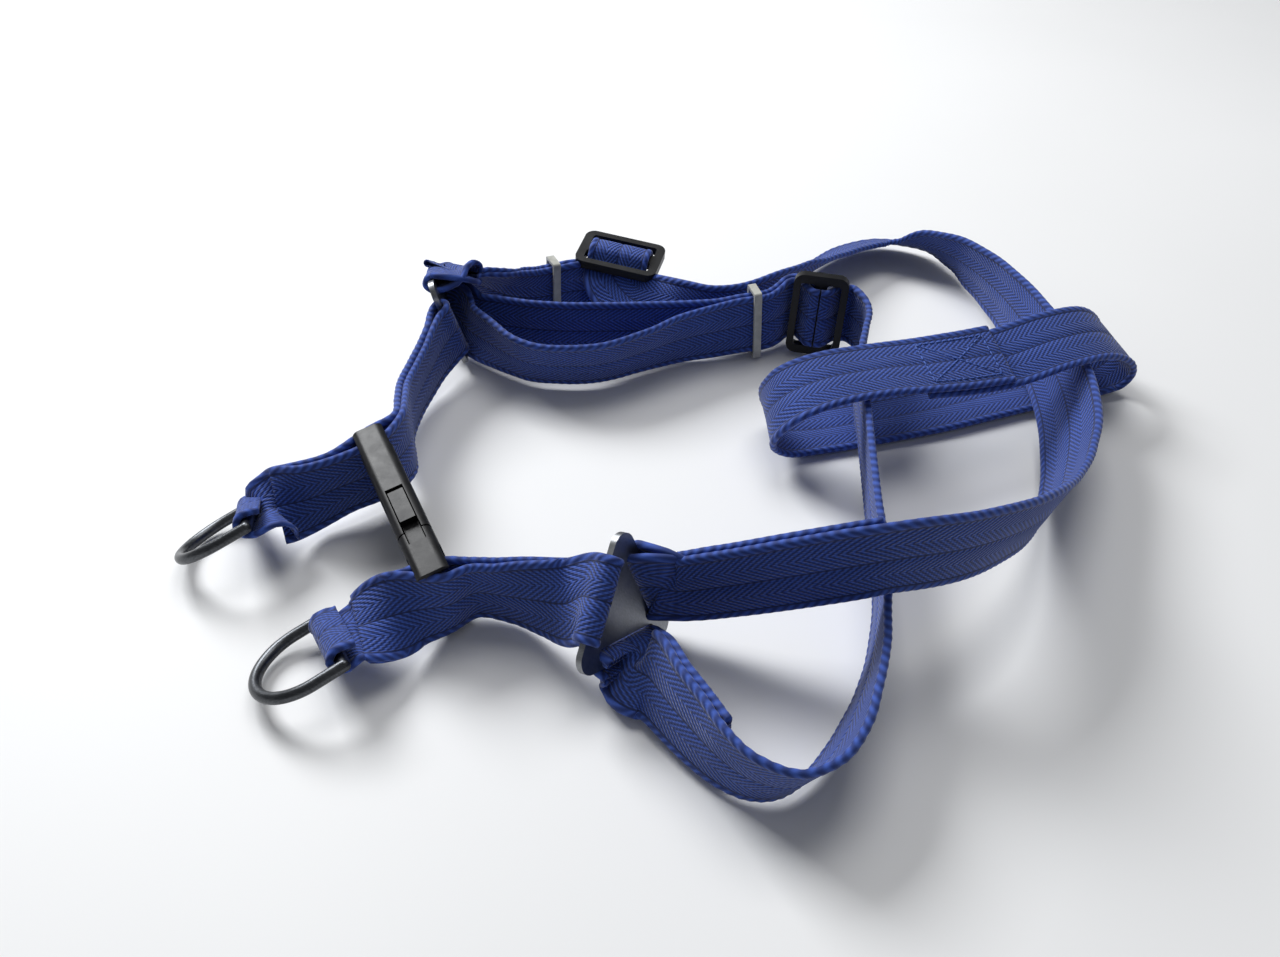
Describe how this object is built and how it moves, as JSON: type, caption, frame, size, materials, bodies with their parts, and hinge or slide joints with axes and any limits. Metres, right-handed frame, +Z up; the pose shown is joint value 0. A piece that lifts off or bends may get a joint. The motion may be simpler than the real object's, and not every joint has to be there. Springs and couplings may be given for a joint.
{
  "type": "webbing pet harness",
  "caption": "Small adjustable blue webbing harness laid out on a floor, with a side-release buckle, triangle plates, tri-glides and D-rings.",
  "frame": {"origin": "middle of the bounding box at the floor the harness lies on", "axes": "+X along the longest way of the laid-out harness, from the buckle and rings to the end of the joining loop, +Y away from the viewer, +Z up"},
  "size_m": [0.3318, 0.3068, 0.0526],
  "materials": {
    "webbing": "matte",
    "dark_metal": "satin",
    "plate_metal": "satin",
    "buckle_plastic": "satin",
    "keeper_plastic": "satin"
  },
  "bodies": {
    "harness": {"buckle_plug": "buckle_plastic", "leg_strap_lower": "webbing", "triangle_plate_lower": "plate_metal", "outer_strap": "webbing", "inner_strap": "webbing", "joining_loop": "webbing", "tri_glide_upper": "buckle_plastic", "tri_glide_right": "buckle_plastic", "inner_adjuster_front": "webbing", "inner_adjuster_back": "webbing", "outer_adjuster_front": "webbing", "outer_adjuster_back": "webbing"},
    "female_half": {"buckle_socket": "buckle_plastic", "leg_strap_upper": "webbing", "triangle_plate_upper": "plate_metal", "inner_adjuster_fold": "webbing", "outer_adjuster_fold": "webbing"},
    "ring_lower": {"d_ring_lower": "dark_metal"},
    "ring_upper": {"d_ring_upper": "dark_metal"},
    "arm_top": {"buckle_arm_top": "buckle_plastic"},
    "arm_bottom": {"buckle_arm_bottom": "buckle_plastic"},
    "upper_keeper": {"keeper_upper": "keeper_plastic"},
    "right_keeper": {"keeper_right": "keeper_plastic"}
  },
  "joints": [
    {"name": "buckle_release", "type": "slide", "parent": "harness", "child": "female_half", "axis": [-0.4361, 0.8974, 0.0669], "range_m": [0, 0.03]},
    {"name": "ring_lower_swing", "type": "hinge", "parent": "harness", "child": "ring_lower", "pos_m": [-0.10664, -0.09847, 0.01085], "axis": [-0.4361, 0.8493, -0.2975], "range_deg": [-10, 25]},
    {"name": "ring_upper_swing", "type": "hinge", "parent": "female_half", "child": "ring_upper", "pos_m": [-0.14314, -0.04847, 0.01325], "axis": [-0.2557, 0.8575, -0.4464], "range_deg": [-10, 25]},
    {"name": "arm_top_press", "type": "hinge", "parent": "harness", "child": "arm_top", "pos_m": [-0.08383, -0.07508, 0.02581], "axis": [-0.8883, -0.4174, -0.1916], "range_deg": [0, 6], "stiffness_Nm_per_rad": 0.05},
    {"name": "arm_bottom_press", "type": "hinge", "parent": "harness", "child": "arm_bottom", "pos_m": [-0.08089, -0.07216, 0.00584], "axis": [0.8883, 0.4174, 0.1916], "range_deg": [0, 6], "stiffness_Nm_per_rad": 0.05},
    {"name": "keeper_upper_slide", "type": "slide", "parent": "harness", "child": "upper_keeper", "axis": [0.9119, 0.408, -0.044], "range_m": [-0.002, 0.002]},
    {"name": "keeper_right_slide", "type": "slide", "parent": "harness", "child": "right_keeper", "axis": [0.9688, 0.2429, 0.05], "range_m": [-0.002, 0.002]}
  ]
}
